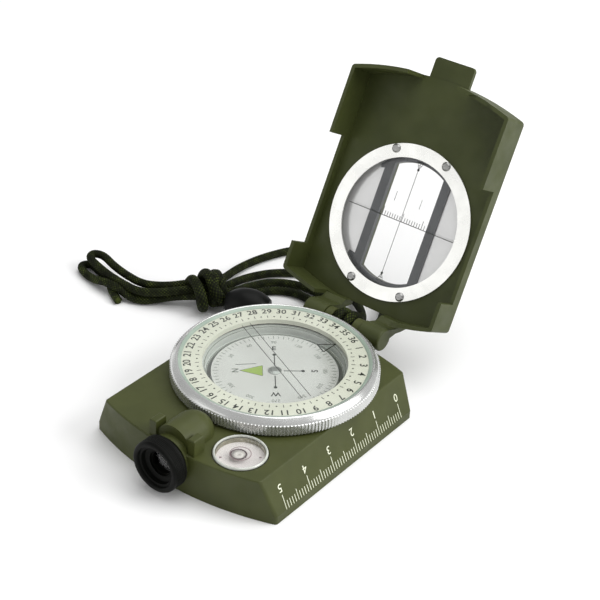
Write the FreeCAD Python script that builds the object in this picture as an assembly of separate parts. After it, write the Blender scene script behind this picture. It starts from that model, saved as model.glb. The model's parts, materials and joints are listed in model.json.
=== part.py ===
import FreeCAD, Part
import math
import os

# Folding lensatic geology compass with a cord lanyard, in millimetres.
# Origin: centre of the dial, on the underside of the base. +Z is up, +Y points to the hinge,
# -Y to the eyepiece and +X to the side that carries the ruler.
# Cover parts are drawn closed and then swung open about the hinge to the rest position.

V = FreeCAD.Vector
X_AXIS = V(1, 0, 0)
Y_AXIS = V(0, 1, 0)
Z_AXIS = V(0, 0, 1)

# Case plan: two straight sides joined by a large arc at each end.
BASE_HALF = 30.4
TOP_HALF = 26.0
SKIRT_H = 2.4
TOP_Z = 12.2
END_R = 85.0
FRONT_Y = -42.4
REAR_Y = 27.5
WALL = 1.8

# Hinge.
HINGE_Y = 32.1
HINGE_Z = 12.4
OPEN_ANGLE = 118.5
PIN_R = 1.0
LUG_IN = 3.6
LUG_OUT = 6.0
LUG_R = 3.0
KNUCKLE_IN = 6.25
KNUCKLE_OUT = 13.3
KNUCKLE_R = 3.3
PIN_END = 12.0

# Cover. Its ends sit a little further back than those of the base.
COVER_BACK = 1.2
RIM_Z = 12.5
COVER_H = 11.2
LID_Z = RIM_Z + COVER_H
PLATE = 1.5
FLANGE = 1.1
THIN_FLANGE = 4.2
SIDE_CUT_FRONT = -16.8
SIDE_CUT_REAR = 16.3
TAB_HALF = 6.5
TAB_END = -46.9
FRONT_GAP_HALF = 8.2
REAR_GAP_HALF = 13.3

# Window in the cover.
WINDOW_Y = 0.9
BOSS_R = 21.7
BOSS_H = 2.4
WINDOW_RING_R = 22.7
WINDOW_R = 18.7
STRIP_HALF = 8.3
BAR_W = 2.8

# Dial stack.
COLLAR_R = 24.2
COLLAR_TOP = 14.8
BEZEL_BORE = 24.3
BEZEL_R = 28.3
BEZEL_BOTTOM = 12.6
GLASS_R = 26.6
GLASS_FLOOR = 16.8
GLASS_TOP = 17.25
BEZEL_TOP_BORE = 26.1
NUMBER_RING_BORE = 19.6
NUMBER_RING_FLOOR = 15.4
NUMBER_RING_TOP = 16.75
RETAINER_R = 25.4
BOWL_R = 20.2
BOWL_BORE = 19.0
CARD_R = 17.2
CARD_TOP = 13.1

# Bubble level.
VIAL_X = 15.0
VIAL_Y = -32.5
VIAL_R = 7.1
VIAL_TOP = 12.9

# Eyepiece.
LENS_Z = 9.1
TUBE_R = 5.2
TUBE_BORE = 4.3
EYE_R = 7.3
EYE_FRONT = -48.2
EYE_BACK = -43.5
LENS_SEAT = -45.5
HOOD_R = 5.6
HOOD_FRONT = -40.8
HOOD_REAR = -33.6
BOSS_FRONT = -42.7
LENS_BOSS_R = 6.1

# Lanyard.
CORD_D = 2.5
CORD_R = CORD_D / 2
WRAP_TIGHT = PIN_R + CORD_R + 0.03
WRAP_LOOSE = 3.0
WRAP_FRONT = HINGE_Y - WRAP_TIGHT
WRAP_X = 1.6
KNOT = V(-48.0, 29.0, 0)
KNOT_R = 7.4
KNOT_H = 11.2
LOCK = V(-33.9, 30.0, 5.2)


def box(x0, x1, y0, y1, z0, z1):
    return Part.makeBox(x1 - x0, y1 - y0, z1 - z0, V(x0, y0, z0))


def rod(radius, start, end):
    axis = end - start
    return Part.makeCylinder(radius, axis.Length, start, axis)


def disc(radius, z0, z1, x=0.0, y=0.0):
    return rod(radius, V(x, y, z0), V(x, y, z1))


def ring(outer, inner, z0, z1, x=0.0, y=0.0):
    return disc(outer, z0, z1, x, y).cut(disc(inner, z0 - 1, z1 + 1, x, y))


def bar_x(radius, x0, x1, y, z):
    return rod(radius, V(x0, y, z), V(x1, y, z))


def bar_y(radius, y0, y1, x, z):
    return rod(radius, V(x, y0, z), V(x, y1, z))


def tube_y(outer, inner, y0, y1, x, z):
    return bar_y(outer, y0, y1, x, z).cut(bar_y(inner, y0 - 1, y1 + 1, x, z))


def spin_z(profile, x=0.0, y=0.0):
    """Turn a closed (radius, z) profile round the vertical line through x, y."""
    points = [V(x + r, y, z) for r, z in profile]
    face = Part.Face(Part.makePolygon(points + points[:1]))
    return face.revolve(V(x, y, 0), Z_AXIS, 360)


def spin_y(profile, z):
    """Turn a closed (radius, y) profile round the Y line at height z."""
    points = [V(r, y, z) for r, y in profile]
    face = Part.Face(Part.makePolygon(points + points[:1]))
    return face.revolve(V(0, 0, z), Y_AXIS, 360)


def prism_x(outline, x0, x1):
    """Extrude a (y, z) outline from x0 to x1."""
    points = [V(x0, y, z) for y, z in outline]
    return Part.Face(Part.makePolygon(points + points[:1])).extrude(V(x1 - x0, 0, 0))


def prism_y(outline, y0, y1):
    """Extrude an (x, z) outline from y0 to y1."""
    points = [V(x, y0, z) for x, z in outline]
    return Part.Face(Part.makePolygon(points + points[:1])).extrude(V(0, y1 - y0, 0))


def end_arcs(inset, z0, z1, back=0.0):
    """Room between the two large end arcs of the case, moved in by inset and both moved back."""
    front = disc(END_R - inset, z0, z1, 0, FRONT_Y + END_R + back)
    rear = disc(END_R - inset, z0, z1, 0, REAR_Y - END_R + back)
    return front.common(rear)


def mirrored(shape):
    return shape.mirror(V(0, 0, 0), X_AXIS)


def both_sides(shape):
    return shape.fuse(mirrored(shape))


def fuse_all(shapes):
    result = shapes[0]
    for shape in shapes[1:]:
        result = result.fuse(shape)
    return result.removeSplitter()


# ---------------------------------------------------------------- base
def trapezoid(inset, floor, top):
    slope = (BASE_HALF - TOP_HALF) / (TOP_Z - SKIRT_H)
    wide = BASE_HALF - inset
    narrow = TOP_HALF - inset + slope * (TOP_Z - top)
    knee = SKIRT_H
    return [(-wide, floor), (wide, floor), (wide, knee), (narrow, top), (-narrow, top), (-wide, knee)]


SCREW_SPOTS = [(24.3, 17.6), (-24.3, 17.6), (24.3, -33.2), (-24.3, -33.2)]
DECK = 1.6
PLATE_TOP = 1.7


def base_block():
    outer = prism_y(trapezoid(0, 0, TOP_Z), FRONT_Y - 5, REAR_Y + 5)
    block = outer.common(end_arcs(0, -1, TOP_Z + 1))
    tall = [e for e in block.Edges if e.BoundBox.ZLength > 1.0]
    block = block.makeFillet(1.0, tall)
    deck_edge = [e for e in block.Edges if e.BoundBox.ZMin > TOP_Z - 0.05]
    return block.makeFillet(0.45, deck_edge)


def base_cavity():
    hollow = prism_y(trapezoid(WALL, -1, TOP_Z - DECK), FRONT_Y - 5, REAR_Y + 5)
    return hollow.common(end_arcs(WALL, -2, TOP_Z))


def make_base():
    block = base_block().cut(base_cavity())
    adds = [ring(COLLAR_R, 21.3, TOP_Z - 0.5, COLLAR_TOP)]
    adds.append(ring(23.0, 20.5, 5.0, TOP_Z))
    adds.append(disc(VIAL_R + 1.2, 6.6, TOP_Z, VIAL_X, VIAL_Y))
    for x, y in SCREW_SPOTS:
        adds.append(disc(2.2, PLATE_TOP, TOP_Z - DECK + 0.05, x, y))
    # Hood over the lens path, between the two sight posts, with a domed rear end at the dial.
    dome = Part.makeSphere(HOOD_R, V(0, HOOD_REAR, TOP_Z))
    hood = bar_y(HOOD_R, HOOD_FRONT, HOOD_REAR, 0, TOP_Z).fuse(dome)
    hood = hood.common(box(-9, 9, -60, 0, TOP_Z - DECK, 30))
    adds.append(hood.cut(disc(BEZEL_R + 0.35, TOP_Z, 30)))
    post = box(5.3, 7.5, -41.4, -37.6, TOP_Z - 0.5, 17.0)
    rounded = [e for e in post.Edges if e.BoundBox.ZMin > 16.9]
    adds.append(both_sides(post.makeFillet(0.4, rounded)))
    # Boss that carries the lens tube through the front wall.
    boss = bar_y(LENS_BOSS_R, BOSS_FRONT, -33.5, 0, LENS_Z)
    adds.append(boss.common(box(-9, 9, -60, 0, 1.75, 30)))
    # Lugs for the hinge pin.
    lug = bar_x(LUG_R, LUG_IN, LUG_OUT, HINGE_Y, HINGE_Z)
    arm = [(REAR_Y - 2.0, 4.0), (REAR_Y - 2.0, TOP_Z), (HINGE_Y - LUG_R, TOP_Z), (HINGE_Y, HINGE_Z),
           (HINGE_Y + LUG_R * 0.8, HINGE_Z - LUG_R * 0.6), (REAR_Y, 4.0)]
    adds.append(both_sides(lug.fuse(prism_x(arm, LUG_IN, LUG_OUT))))
    base = fuse_all([block] + adds)
    # Clearance for the dial, the vial, the lens path, the hinge and the cord.
    base = base.cut(disc(20.5, 5.0 - 1, 15.5))
    base = base.cut(disc(21.3, TOP_Z, 15.5))
    base = base.cut(disc(VIAL_R + 0.2, 7.6, 20, VIAL_X, VIAL_Y))
    base = base.cut(bar_y(TUBE_R, -50, -34.5, 0, LENS_Z))
    base = base.cut(box(-3.6, 3.6, -34.6, -29.0, 5.6, 12.8))
    base = base.cut(box(-3.0, 3.0, -30.0, -20.0, 8.0, 11.8))
    base = base.cut(bar_x(PIN_R, -20, 20, HINGE_Y, HINGE_Z))
    base = base.cut(bar_x(HINGE_Y - 26.8, -LUG_IN, LUG_IN, HINGE_Y, HINGE_Z - 1.0))
    for x, y in SCREW_SPOTS:
        base = base.cut(disc(0.9, PLATE_TOP - 1, 9.0, x, y))
    return base


def make_bottom_cover():
    plan = box(-BASE_HALF + 2.0, BASE_HALF - 2.0, FRONT_Y, REAR_Y, 0, PLATE_TOP - 0.05)
    plate = plan.common(end_arcs(2.0, -1, 5))
    for x, y in SCREW_SPOTS:
        sink = spin_z([(0, -1), (1.9, -1), (1.9, 0.3), (1.0, 1.2), (1.0, 3.0), (0, 3.0)], x, y)
        plate = plate.cut(sink)
    return plate


def make_bottom_screws():
    screws = []
    for x, y in SCREW_SPOTS:
        body = spin_z([(0, 0.1), (1.8, 0.1), (1.8, 0.3), (0.88, 1.22), (0.88, 6.4), (0, 6.4)], x, y)
        cross = box(x - 1.1, x + 1.1, y - 0.25, y + 0.25, 0, 0.6)
        cross = cross.fuse(box(x - 0.25, x + 0.25, y - 1.1, y + 1.1, 0, 0.6))
        screws.append(body.cut(cross))
    return Part.makeCompound(screws)


# ---------------------------------------------------------------- bubble level
def vial_bubble():
    blob = Part.makeSphere(3.4, V(VIAL_X - 0.3, VIAL_Y - 0.4, 9.35))
    return blob.common(disc(6.0, 11.9, 12.2, VIAL_X, VIAL_Y))


def make_vial_body():
    body = disc(VIAL_R, 9.0, VIAL_TOP, VIAL_X, VIAL_Y)
    top = [e for e in body.Edges if e.BoundBox.ZMin > VIAL_TOP - 0.05]
    body = body.makeFillet(0.5, top)
    return body.cut(disc(6.4, 9.8, 12.2, VIAL_X, VIAL_Y))


def make_vial_liquid():
    return disc(6.4, 9.8, 12.2, VIAL_X, VIAL_Y).cut(vial_bubble())


def make_vial_backing():
    return disc(VIAL_R, 7.65, 8.98, VIAL_X, VIAL_Y)


# ---------------------------------------------------------------- dial
def make_bowl():
    profile = [(0, 6.0), (BOWL_R, 6.0), (BOWL_R, 12.25), (21.2, 12.25), (21.2, 13.7), (BOWL_R, 13.7),
               (BOWL_R, 14.7), (BOWL_BORE, 14.7), (BOWL_BORE, 12.4), (18.3, 12.4), (18.3, 7.0),
               (1.2, 7.0), (1.2, 6.4), (0, 6.4)]
    return spin_z(profile)


def make_pivot_post():
    return spin_z([(0, 6.45), (1.15, 6.45), (1.15, 7.6), (0.55, 8.4), (0.55, 11.6), (0, 12.6)])


def make_capsule_seal():
    return Part.makeTorus(20.75, 0.44, V(0, 0, 14.2))


def make_capsule_lens():
    return disc(19.45, 14.75, 15.3)


def make_number_ring():
    """Numbered dial ring, bonded into the bore of the turning bezel."""
    return ring(BEZEL_TOP_BORE, NUMBER_RING_BORE, NUMBER_RING_FLOOR, NUMBER_RING_TOP)


def make_bezel_retainer():
    """Flat ring on the fixed collar; its edge holds the bezel's flange down."""
    return ring(RETAINER_R, 20.5, COLLAR_TOP, COLLAR_TOP + 0.35)


def make_card():
    return ring(CARD_R, 1.3, CARD_TOP - 0.4, CARD_TOP)


def make_card_magnet():
    magnet = box(-7.5, 7.5, -2.4, 2.4, 11.3, CARD_TOP - 0.45)
    magnet.rotate(V(0, 0, 0), Z_AXIS, 40)
    return magnet.cut(disc(1.3, 10, 14))


def make_card_jewel():
    """Brass cup with a conical seat that hangs on the pivot point."""
    profile = [(0, 13.6), (1.0, 13.6), (1.8, 13.3), (1.8, CARD_TOP + 0.02), (1.25, CARD_TOP + 0.02),
               (1.25, 11.0), (0.8, 11.0), (0.7, 12.2), (0, 12.75)]
    return spin_z(profile)


def make_bezel_spring():
    """Flat friction ring between the deck and the turning bezel, cut open at one side."""
    return ring(25.9, 24.5, TOP_Z + 0.02, BEZEL_BOTTOM - 0.08).cut(box(20, 30, -1.0, 1.0, 10, 14))


def make_bezel_ring():
    profile = [(BEZEL_BORE, BEZEL_BOTTOM), (BEZEL_R - 0.2, BEZEL_BOTTOM), (BEZEL_R, BEZEL_BOTTOM + 0.2),
               (BEZEL_R, 15.9), (BEZEL_R - 0.35, 16.2), (26.7, 17.4), (26.2, 17.4),
               (BEZEL_TOP_BORE, 17.3), (BEZEL_TOP_BORE, GLASS_TOP), (GLASS_R, GLASS_TOP),
               (GLASS_R, GLASS_FLOOR), (BEZEL_TOP_BORE, GLASS_FLOOR), (BEZEL_TOP_BORE, 14.45),
               (BEZEL_BORE, 14.45)]
    return spin_z(profile)


def make_bezel_glass():
    return disc(GLASS_R, GLASS_FLOOR, GLASS_TOP)


# ---------------------------------------------------------------- lens
def make_lens_tube():
    return tube_y(TUBE_R, TUBE_BORE, LENS_SEAT + 0.1, -35.0, 0, LENS_Z)


def make_prism():
    """Glass prism that turns the view of the dial into the eyepiece."""
    return prism_x([(-34.3, 5.9), (-34.3, 11.6), (-29.4, 11.6)], -3.3, 3.3)


def make_lens_cell():
    return tube_y(TUBE_BORE - 0.08, 3.2, LENS_SEAT + 0.3, LENS_SEAT + 2.3, 0, LENS_Z)


def make_lens():
    bulge = 9.0
    rear = Part.makeSphere(bulge, V(0, LENS_SEAT + 0.5 + bulge, LENS_Z))
    front = Part.makeSphere(bulge, V(0, LENS_SEAT + 2.1 - bulge, LENS_Z))
    return rear.common(front).common(bar_y(3.18, LENS_SEAT, LENS_SEAT + 3, 0, LENS_Z))


def make_eyepiece_ring():
    profile = [(5.9, EYE_FRONT), (EYE_R - 0.5, EYE_FRONT), (EYE_R, EYE_FRONT + 0.5), (EYE_R, EYE_BACK - 0.4),
               (EYE_R - 0.4, EYE_BACK), (TUBE_R + 0.08, EYE_BACK), (TUBE_R + 0.08, LENS_SEAT),
               (3.6, LENS_SEAT), (3.6, LENS_SEAT - 0.3), (4.9, LENS_SEAT - 0.65)]
    return spin_y(profile, LENS_Z)


# ---------------------------------------------------------------- cover
def opened(shape):
    """Swing a part that is drawn closed to the open rest position."""
    shape = shape.copy()
    shape.rotate(V(0, HINGE_Y, HINGE_Z), X_AXIS, -OPEN_ANGLE)
    return shape


def knuckle_web():
    """Arm from a hinge knuckle up to the lid, with the toe that stops the cover when it is open."""
    front = HINGE_Y - KNUCKLE_R + 0.3
    web = [(front, HINGE_Z), (front - 0.6, 17.6), (27.0, 19.2), (26.8, LID_Z - 0.3), (28.2, LID_Z - 0.3),
           (29.2, 20.4), (29.9, 17.6), (31.2, 15.4), (HINGE_Y, HINGE_Z)]
    arm = prism_x(web, KNUCKLE_IN, KNUCKLE_OUT)
    barrel = bar_x(KNUCKLE_R, KNUCKLE_IN, KNUCKLE_OUT, HINGE_Y, HINGE_Z)
    barrel = barrel.makeFillet(0.6, [e for e in barrel.Edges if e.BoundBox.XMin > KNUCKLE_OUT - 0.1])
    toe = box(6.6, 10.0, HINGE_Y + 1.0, HINGE_Y + 5.0, HINGE_Z - 2.3, HINGE_Z - 0.4)
    return fuse_all([barrel, arm, toe])


def make_cover_shell():
    block = box(-TOP_HALF, TOP_HALF, -60, 60, RIM_Z, LID_Z).common(end_arcs(0, 0, 40, COVER_BACK))
    tall = [e for e in block.Edges if e.BoundBox.ZLength > 5]
    block = block.makeFillet(1.2, tall)
    lid_edge = [e for e in block.Edges if e.BoundBox.ZMin > LID_Z - 0.05]
    block = block.makeFillet(0.8, lid_edge)
    inner = TOP_HALF - FLANGE
    hollow = box(-inner, inner, -60, 60, RIM_Z - 1, LID_Z - PLATE).common(end_arcs(FLANGE, 0, 40, COVER_BACK))
    shell = block.cut(hollow)
    # Low sides where the bezel stands proud, and gaps for the hood, the posts and the hinge.
    thin_z = LID_Z - THIN_FLANGE
    shell = shell.cut(box(-40, 40, SIDE_CUT_FRONT, SIDE_CUT_REAR, 0, thin_z))
    shell = shell.cut(box(-FRONT_GAP_HALF, FRONT_GAP_HALF, -60, -30, 0, LID_Z - PLATE))
    shell = shell.cut(box(-REAR_GAP_HALF, REAR_GAP_HALF, 20, 60, 0, thin_z))
    tab = box(-TAB_HALF, TAB_HALF, TAB_END, FRONT_Y + 4, LID_Z - PLATE + 0.2, LID_Z)
    tab_corners = [e for e in tab.Edges if e.BoundBox.ZLength > 1 and e.BoundBox.YMax < TAB_END + 0.1]
    tab = tab.makeFillet(1.2, tab_corners)
    boss = disc(BOSS_R, LID_Z - 0.5, LID_Z + BOSS_H, 0, WINDOW_Y)
    rim = [e for e in boss.Edges if e.BoundBox.ZMin > LID_Z + BOSS_H - 0.05]
    boss = boss.makeFillet(0.6, rim)
    shell = fuse_all([shell, tab, boss, both_sides(knuckle_web())])
    shell = shell.cut(box(-KNUCKLE_IN, KNUCKLE_IN, 27.0, 60, 0, 40))
    shell = shell.cut(bar_x(PIN_R + 0.06, -20, PIN_END + 0.1, HINGE_Y, HINGE_Z))
    shell = shell.cut(disc(VIAL_R + 0.4, RIM_Z - 1, VIAL_TOP + 0.4, VIAL_X, VIAL_Y))
    # Stepped window seat, then the see-through strip.
    shell = shell.cut(disc(20.5, LID_Z - PLATE - 1, LID_Z + BOSS_H - 1.1, 0, WINDOW_Y))
    strip = box(-STRIP_HALF, STRIP_HALF, -60, 60, LID_Z, LID_Z + 10)
    shell = shell.cut(strip.common(disc(17.6, LID_Z, 40, 0, WINDOW_Y)))
    for x, y in window_screw_spots():
        shell = shell.cut(disc(0.62, 20, LID_Z + 1.2, x, y))
    return shell


def window_screw_spots():
    spots = []
    for middle in (90, 270):
        for turn in (-23.5, 23.5):
            angle = math.radians(middle + turn)
            spots.append((21.35 * math.cos(angle), WINDOW_Y + 21.35 * math.sin(angle)))
    return spots


GLASS_Z = LID_Z - PLATE
MIRROR_Z = LID_Z + BOSS_H - 1.1


def make_window_ring():
    plate = ring(WINDOW_RING_R, WINDOW_R, GLASS_Z - 0.5, GLASS_Z - 0.02, 0, WINDOW_Y)
    for x, y in window_screw_spots():
        plate = plate.cut(disc(0.68, 20, 23, x, y))
    return plate


def make_window_screws():
    screws = []
    for x, y in window_screw_spots():
        bottom = GLASS_Z - 0.52
        head = spin_z([(0, bottom - 0.55), (0.9, bottom - 0.5), (1.3, bottom - 0.2), (1.3, bottom),
                       (0.6, bottom), (0.6, LID_Z + 1.1), (0, LID_Z + 1.1)], x, y)
        slot = box(x - 1.5, x + 1.5, y - 0.18, y + 0.18, bottom - 1, bottom - 0.25)
        screws.append(head.cut(slot))
    return Part.makeCompound(screws)


def make_sight_glass():
    return disc(20.4, GLASS_Z, GLASS_Z + 1.4, 0, WINDOW_Y)


def make_window_gasket():
    """Black frame: a bar at each side of the strip, joined by an arc at both ends."""
    outer = STRIP_HALF + BAR_W
    frame = ring(20.3, 17.6, GLASS_Z + 1.42, MIRROR_Z - 0.02, 0, WINDOW_Y)
    frame = frame.common(box(-outer, outer, -60, 60, 0, 60))
    bars = box(STRIP_HALF, outer, -60, 60, GLASS_Z + 1.42, MIRROR_Z - 0.02)
    bars = both_sides(bars).common(disc(20.3, 0, 60, 0, WINDOW_Y))
    return fuse_all([frame, bars])


def make_mirror():
    edge = STRIP_HALF + BAR_W + 0.05
    blank = disc(20.3, MIRROR_Z - 0.9, MIRROR_Z - 0.02, 0, WINDOW_Y)
    return blank.common(box(edge, 40, -60, 60, 0, 60))


# ---------------------------------------------------------------- hinge hardware
def make_hinge_pin():
    """Steel pin, pressed in from the left; the right knuckle's bore is blind."""
    return bar_x(PIN_R, -KNUCKLE_OUT + 0.3, PIN_END, HINGE_Y, HINGE_Z)


# ---------------------------------------------------------------- lanyard
def wrap_point(x, angle, radius):
    """Point of a cord's middle line on its way round the hinge pin; 0 degrees is the rear side."""
    turn = math.radians(angle)
    return V(x, WRAP_FRONT + radius + radius * math.cos(turn), HINGE_Z + radius * math.sin(turn))


def rounded_route(points):
    """Straight runs joined by tangent arcs, each as large as its two runs allow."""
    edges = []
    radii = []
    start = points[0]
    for before, corner, after in zip(points, points[1:], points[2:]):
        run_in = corner - before
        run_out = after - corner
        half_turn = run_in.getAngle(run_out) / 2
        reach = 0.45 * min(run_in.Length, run_out.Length)
        radius = reach / math.tan(half_turn)
        arc_start = corner - V(run_in).normalize() * reach
        arc_end = corner + V(run_out).normalize() * reach
        inward = (arc_start + arc_end) * 0.5 - corner
        apex = corner + V(inward).normalize() * (radius / math.cos(half_turn) - radius)
        edges.append(Part.LineSegment(start, arc_start).toShape())
        edges.append(Part.Arc(arc_start, apex, arc_end).toShape())
        radii.append(round(radius, 1))
        start = arc_end
    edges.append(Part.LineSegment(start, points[-1]).toShape())
    return edges, radii


def cord_tube(name, edges, radii):
    wire = Part.Wire(edges)
    start = wire.Edges[0]
    tangent = start.tangentAt(start.FirstParameter)
    circle = Part.Wire(Part.makeCircle(CORD_R, start.valueAt(start.FirstParameter), tangent))
    tube = wire.makePipeShell([circle], True, True)
    expected = math.pi * CORD_R ** 2 * wire.Length
    print(name, "length", round(wire.Length, 1), "volume ratio", round(tube.Volume / expected, 4),
          "radii", radii)
    return tube


def strand(name, x, side, exit_run, route):
    """Half of a wrap from the front of the hinge pin, a straight exit, then the way to the knot."""
    leave_angle, radius = EXITS[side]
    middle = (180 + leave_angle) / 2
    leave = wrap_point(x, leave_angle, radius)
    wrap = Part.Arc(wrap_point(x, 180, radius), wrap_point(x, middle, radius), leave)
    turn = math.radians(leave_angle)
    way = 1 if leave_angle > 180 else -1
    direction = V(0, -math.sin(turn) * way, math.cos(turn) * way)
    edges, radii = rounded_route([leave, leave + direction * exit_run] + route)
    return cord_tube(name, [wrap.toShape()] + edges, radii)


GROUND = CORD_R + 0.05
EXITS = {"over": (35, WRAP_LOOSE), "under": (235, WRAP_TIGHT)}


def make_strand_a():
    return strand("lanyard_strand_a", WRAP_X, "over", 11.0, [
        V(-2, 56, 1.9), V(-14, 69, GROUND), V(-31, 75.5, GROUND), V(-46, 72, GROUND),
        V(-51.5, 60, GROUND), V(-53.4, 49.5, GROUND), V(-51.6, 40.5, 2.6), V(-49.9, 34.6, 4.5)])


def make_strand_b():
    return strand("lanyard_strand_b", -WRAP_X, "over", 11.3, [
        V(-8.2, 53.4, 2.2), V(-21, 61, GROUND), V(-34, 61.5, GROUND), V(-43.5, 54.5, GROUND),
        V(-47.8, 46.5, GROUND), V(-47.6, 40.0, 2.6), V(-46.9, 34.8, 4.0)])


def make_strand_c():
    return strand("lanyard_strand_c", WRAP_X, "under", 8.2, [
        V(-5.0, 44.0, 1.7), V(-18, 52.6, GROUND), V(-31, 54.6, GROUND), V(-40.2, 50.2, GROUND),
        V(-43.8, 43.5, GROUND), V(-43.9, 38.2, 2.4), V(-43.6, 33.6, 4.0)])


def make_strand_d():
    return strand("lanyard_strand_d", -WRAP_X, "under", 7.0, [
        V(-9.2, 40.3, 2.0), V(-20, 48.2, GROUND), V(-30.5, 50.0, GROUND), V(-37.4, 46.2, GROUND),
        V(-40.4, 40.6, GROUND), V(-40.9, 35.8, 2.2), V(-41.9, 31.9, 4.0)])


def make_knot():
    knot = disc(KNOT_R, 0.05, KNOT_H, KNOT.x, KNOT.y)
    return knot.makeFillet(3.6, [e for e in knot.Edges if e.BoundBox.ZLength < 0.1])


def make_hank():
    """The folded end of the lanyard: four cords side by side, past the knot."""
    side_a = [V(-51.5, 31.5, 0), V(-67.0, 20.9, 0), V(-88.0, 24.0, 0)]
    side_b = [V(-89.0, 14.8, 0), V(-68.0, 11.9, 0), V(-50.5, 22.5, 0)]
    curve_a = Part.Arc(*side_a).toShape()
    curve_b = Part.Arc(*side_b).toShape()
    cap = Part.Arc(side_a[2], V(-93.5, 19.4, 0), side_b[0]).toShape()
    root = Part.LineSegment(side_b[2], side_a[0]).toShape()
    outline = Part.Wire([curve_a, cap, curve_b, root])
    hank = Part.Face(outline).extrude(V(0, 0, 5.2))
    hank.translate(V(0, 0, 0.05))
    long_edges = [e for e in hank.Edges if e.BoundBox.ZLength < 0.1 and e.BoundBox.XMin < -60]
    return hank.makeFillet(1.6, long_edges)


def make_tail():
    edges, radii = rounded_route([V(-75.4, 15.0, GROUND), V(-72.2, 12.6, GROUND), V(-68.4, 10.9, GROUND)])
    return cord_tube("lanyard_tail", edges, radii)


def make_lock_cord():
    edges, radii = rounded_route([V(-43.0, 27.4, 5.0), V(-40.9, 27.6, 5.3), V(-38.6, 28.4, LOCK.z)])
    return cord_tube("lanyard_lock_cord", edges, radii)


def make_cord_lock():
    """Barrel-shaped plastic stop on the short end of the cord."""
    half = 6.6
    profile = [(0, -half), (2.6, -half), (4.3, -half * 0.7), (5.0, 0), (4.3, half * 0.7), (2.6, half), (0, half)]
    points = [V(LOCK.x + r, LOCK.y + y, LOCK.z) for r, y in profile]
    edges = [Part.LineSegment(points[0], points[1]).toShape()]
    edges.append(Part.Arc(points[1], points[3], points[5]).toShape())
    edges.append(Part.LineSegment(points[5], points[6]).toShape())
    edges.append(Part.LineSegment(points[6], points[0]).toShape())
    barrel = Part.Face(Part.Wire(edges)).revolve(LOCK, Y_AXIS, 360)
    barrel.rotate(LOCK, Z_AXIS, -66)
    return barrel


PARTS = {
    "base_housing": make_base,
    "bottom_cover": make_bottom_cover,
    "bottom_screws": make_bottom_screws,
    "vial_body": make_vial_body,
    "vial_liquid": make_vial_liquid,
    "vial_backing": make_vial_backing,
    "capsule_bowl": make_bowl,
    "capsule_seal": make_capsule_seal,
    "capsule_lens": make_capsule_lens,
    "pivot_post": make_pivot_post,
    "bezel_retainer": make_bezel_retainer,
    "number_ring": make_number_ring,
    "compass_card": make_card,
    "card_magnet": make_card_magnet,
    "card_jewel": make_card_jewel,
    "bezel_spring": make_bezel_spring,
    "bezel_ring": make_bezel_ring,
    "bezel_glass": make_bezel_glass,
    "lens_tube": make_lens_tube,
    "view_prism": make_prism,
    "lens_cell": make_lens_cell,
    "eyepiece_lens": make_lens,
    "eyepiece_ring": make_eyepiece_ring,
    "hinge_pin": make_hinge_pin,
    "lanyard_strand_a": make_strand_a,
    "lanyard_strand_b": make_strand_b,
    "lanyard_strand_c": make_strand_c,
    "lanyard_strand_d": make_strand_d,
    "lanyard_knot": make_knot,
    "lanyard_hank": make_hank,
    "lanyard_tail": make_tail,
    "lanyard_lock_cord": make_lock_cord,
    "cord_lock": make_cord_lock,
}

COVER_PARTS = {
    "cover_shell": make_cover_shell,
    "window_ring": make_window_ring,
    "window_screws": make_window_screws,
    "sight_glass": make_sight_glass,
    "window_gasket": make_window_gasket,
    "mirror_right": make_mirror,
}

os.makedirs("parts", exist_ok=True)
shapes = {name: make() for name, make in PARTS.items()}
shapes.update({name: opened(make()) for name, make in COVER_PARTS.items()})
shapes["mirror_left"] = mirrored(shapes["mirror_right"])
for name, shape in shapes.items():
    print(name, "valid", shape.isValid(), "solids", len(shape.Solids), "volume", round(shape.Volume, 1))
    shape.exportStep(f"parts/{name}.step")
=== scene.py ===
import json
import math

import bpy
from mathutils import Matrix, Vector


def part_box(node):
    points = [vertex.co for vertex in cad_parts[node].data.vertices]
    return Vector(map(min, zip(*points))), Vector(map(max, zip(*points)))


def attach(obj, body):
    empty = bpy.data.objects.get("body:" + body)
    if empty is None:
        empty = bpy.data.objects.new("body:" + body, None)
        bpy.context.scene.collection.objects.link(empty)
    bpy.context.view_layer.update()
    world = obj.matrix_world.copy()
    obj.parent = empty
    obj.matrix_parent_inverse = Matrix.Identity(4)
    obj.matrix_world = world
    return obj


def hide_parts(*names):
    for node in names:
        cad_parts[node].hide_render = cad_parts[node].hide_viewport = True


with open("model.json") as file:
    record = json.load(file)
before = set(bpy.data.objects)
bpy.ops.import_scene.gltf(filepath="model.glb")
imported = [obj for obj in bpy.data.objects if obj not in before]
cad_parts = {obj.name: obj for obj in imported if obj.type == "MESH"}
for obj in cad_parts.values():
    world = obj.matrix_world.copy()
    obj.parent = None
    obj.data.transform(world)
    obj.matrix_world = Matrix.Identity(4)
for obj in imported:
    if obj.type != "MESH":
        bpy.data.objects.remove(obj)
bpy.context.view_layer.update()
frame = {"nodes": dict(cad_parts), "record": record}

# Everything is in metres, in the frame of the CAD model. MM and MICRON turn sizes into metres.
MM = 0.001
MICRON = 0.001 * MM
UP = Vector((0, 0, 1))


# ------------------------------------------------------------------ camera
CAMERA_AZIMUTH = math.radians(36.51)
CAMERA_ELEVATION = math.radians(32.60)
CAMERA_ROLL = math.radians(2.55)
CAMERA_DISTANCE = 0.4293
CAMERA_ASIDE = 0.00619
CAMERA_RAISE = 0.02936
CAMERA_TARGET = Vector((0, 0.00172, 0))
CAMERA_CLIP = 0.01
SENSOR_MM = 36.0
LENS_MM = 93.97


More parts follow.
